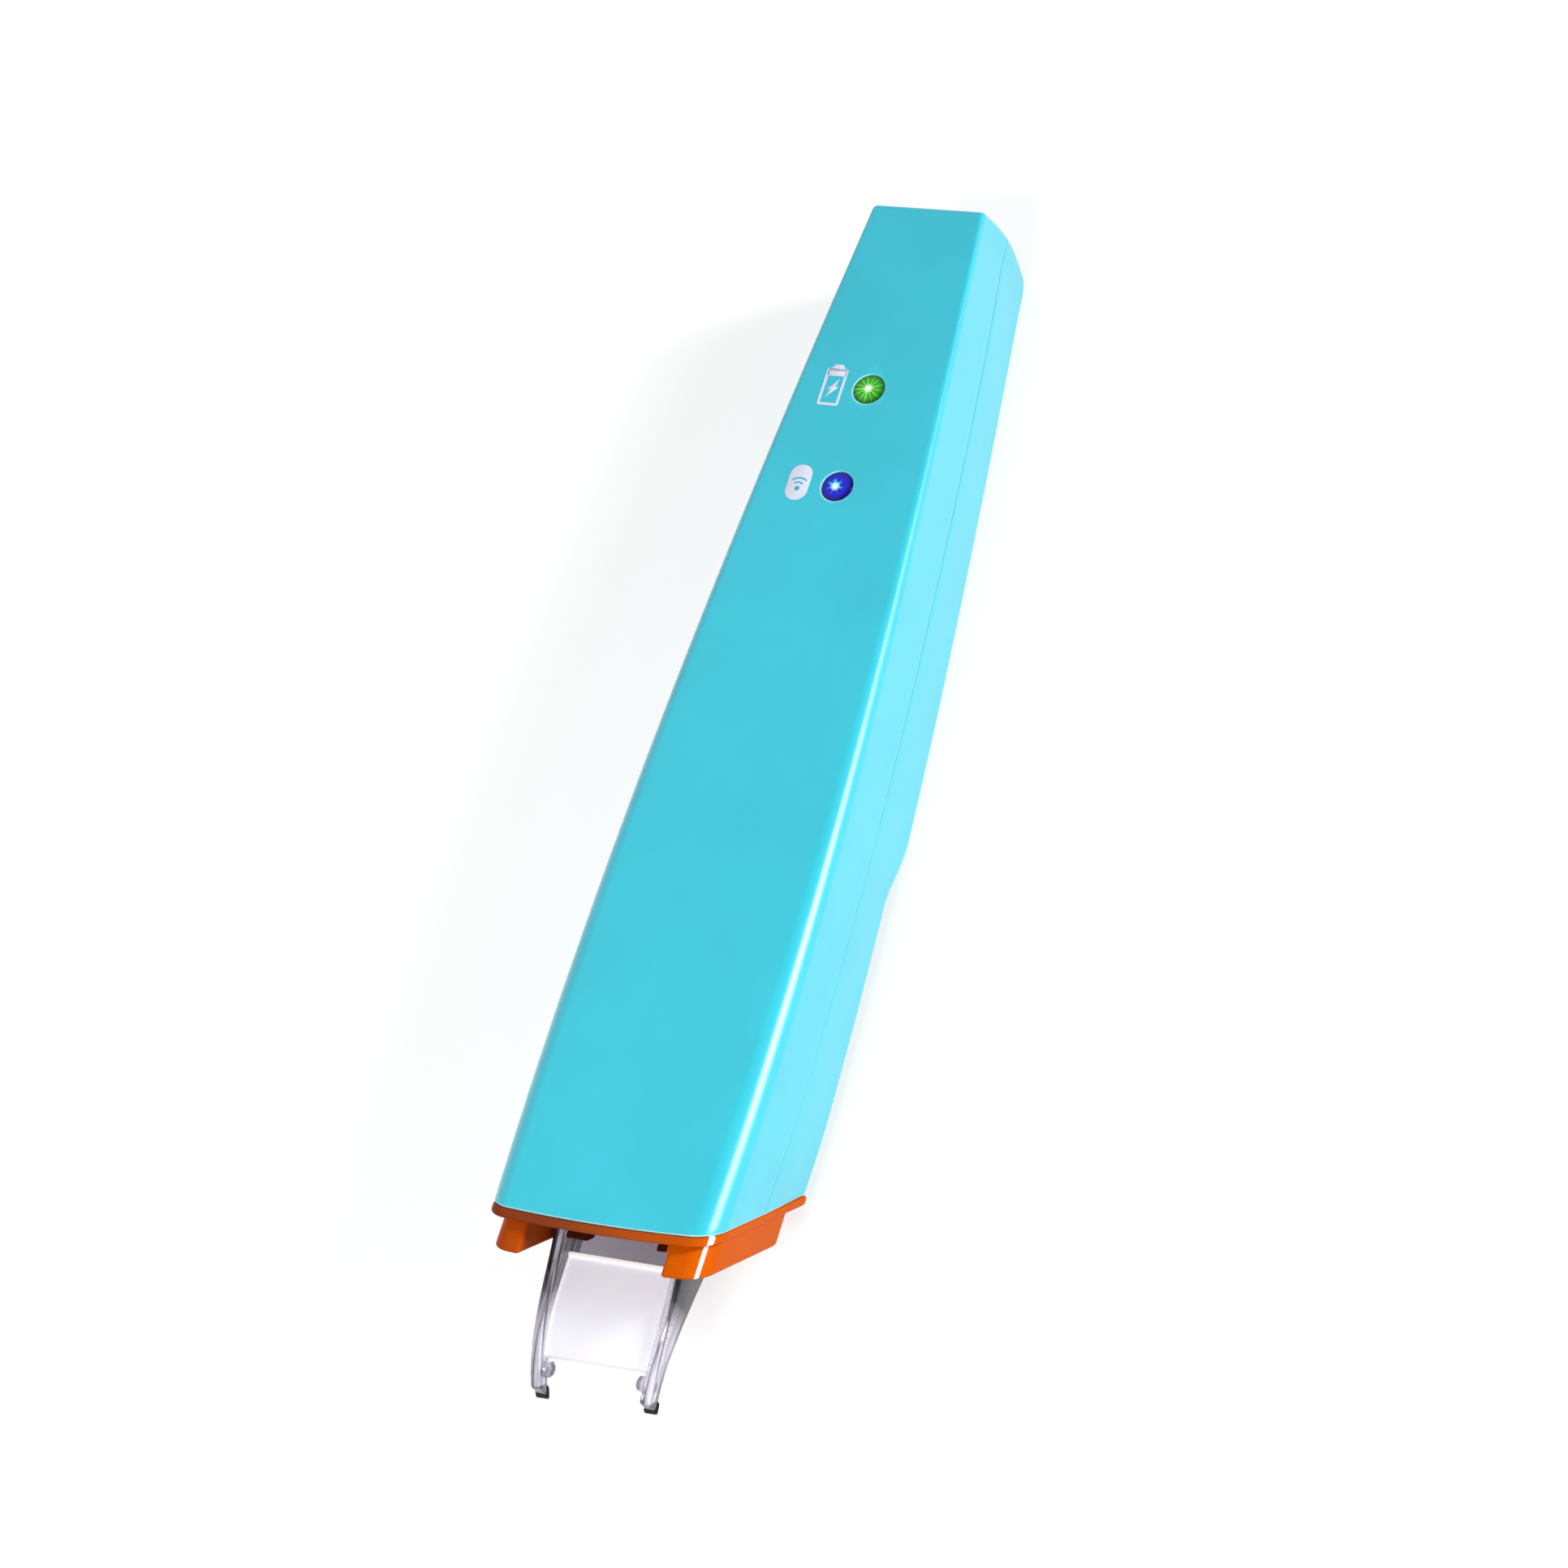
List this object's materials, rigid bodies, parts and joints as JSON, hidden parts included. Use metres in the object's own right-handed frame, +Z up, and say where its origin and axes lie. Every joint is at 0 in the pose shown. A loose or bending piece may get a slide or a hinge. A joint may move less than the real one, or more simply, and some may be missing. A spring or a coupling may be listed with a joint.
{
  "type": "scanning pen",
  "caption": "Tapered handheld pen that reads a line of print through a clear two-legged sprung tip, with a slanted collar and two indicator windows.",
  "frame": {"origin": "centre of the bounding box, on the plane that the flat hump under the pen rests on", "axes": "+X from the scan tip towards the tail, +Z up out of the flat top face, +Y to the left side with the power button"},
  "size_m": [0.1386, 0.0268, 0.0215],
  "materials": {
    "case_blue": "satin turquoise moulding with a fine even grain",
    "collar_orange": "glossy orange moulding",
    "clear_plastic": "clear polished plastic",
    "white_plastic": "white translucent plastic",
    "lamp_white": "lamp with pale yellow cover",
    "black_rubber": "black rubber",
    "lead_red": "red lead insulation",
    "black_plastic": "black moulded plastic",
    "steel": "bright plated steel",
    "board_green": "green circuit board",
    "ribbon_amber": "amber flexible circuit",
    "cell_silver": "silver battery pouch",
    "foam_grey": "grey foam pad",
    "green_glow": "lit green indicator window",
    "blue_glow": "lit blue indicator window"
  },
  "bodies": {
    "casing": {"top_cover": "case_blue", "bottom_cover": "case_blue", "nose_collar": "collar_orange", "optics_window": "clear_plastic", "imaging_lens": "clear_plastic", "battery_plug": "white_plastic", "left_lamp": "lamp_white", "right_lamp": "lamp_white", "battery_lead_black": "black_rubber", "battery_lead_red": "lead_red", "tip_switch_body": "black_plastic", "power_switch_body": "black_plastic", "optics_chassis": "black_plastic", "lens_barrel": "black_plastic", "image_sensor": "black_plastic", "flex_socket": "black_plastic", "processor_chip": "black_plastic", "memory_chip": "black_plastic", "battery_header": "black_plastic", "usb_insert": "black_plastic", "left_tip_spring": "steel", "right_tip_spring": "steel", "clock_crystal": "steel", "radio_module": "steel", "usb_shell": "steel", "front_left_screw": "steel", "front_right_screw": "steel", "rear_left_screw": "steel", "rear_right_screw": "steel", "left_board_screw": "steel", "right_board_screw": "steel", "main_board": "board_green", "sensor_board": "board_green", "lamp_board": "board_green", "protection_board": "board_green", "front_flex": "ribbon_amber", "sensor_ribbon": "ribbon_amber", "battery": "cell_silver", "battery_foam": "foam_grey", "charge_light_pipe": "green_glow", "charge_led": "green_glow", "link_light_pipe": "blue_glow", "link_led": "blue_glow"},
    "tip": {"tip_carriage": "black_plastic", "clear_tip": "clear_plastic", "reflector_panel": "white_plastic", "left_foot": "black_rubber", "right_foot": "black_rubber"},
    "tip_plunger": {"tip_switch_plunger": "steel"},
    "button": {"power_button": "collar_orange"},
    "button_plunger": {"power_switch_plunger": "steel"}
  },
  "joints": [
    {"name": "tip_press", "type": "slide", "parent": "casing", "child": "tip", "axis": [0.9992, 0, -0.0397], "range_m": [0, 0.0015], "stiffness_N_per_m": 300, "springref_m": -0.001, "deforming": ["left_tip_spring", "right_tip_spring"]},
    {"name": "tip_switch_press", "type": "slide", "parent": "casing", "child": "tip_plunger", "axis": [0.9992, 0, -0.0397], "range_m": [0, 0.0015]},
    {"name": "power_press", "type": "slide", "parent": "casing", "child": "button", "axis": [0, -1, 0], "range_m": [0, 0.0005], "stiffness_N_per_m": 500, "springref_m": -0.001},
    {"name": "power_switch_press", "type": "slide", "parent": "casing", "child": "button_plunger", "axis": [0, -1, 0], "range_m": [0, 0.0005]}
  ],
  "couplings": [
    {"joint": "tip_switch_press", "follows": "tip_press", "ratio": 1},
    {"joint": "power_switch_press", "follows": "power_press", "ratio": 1}
  ]
}
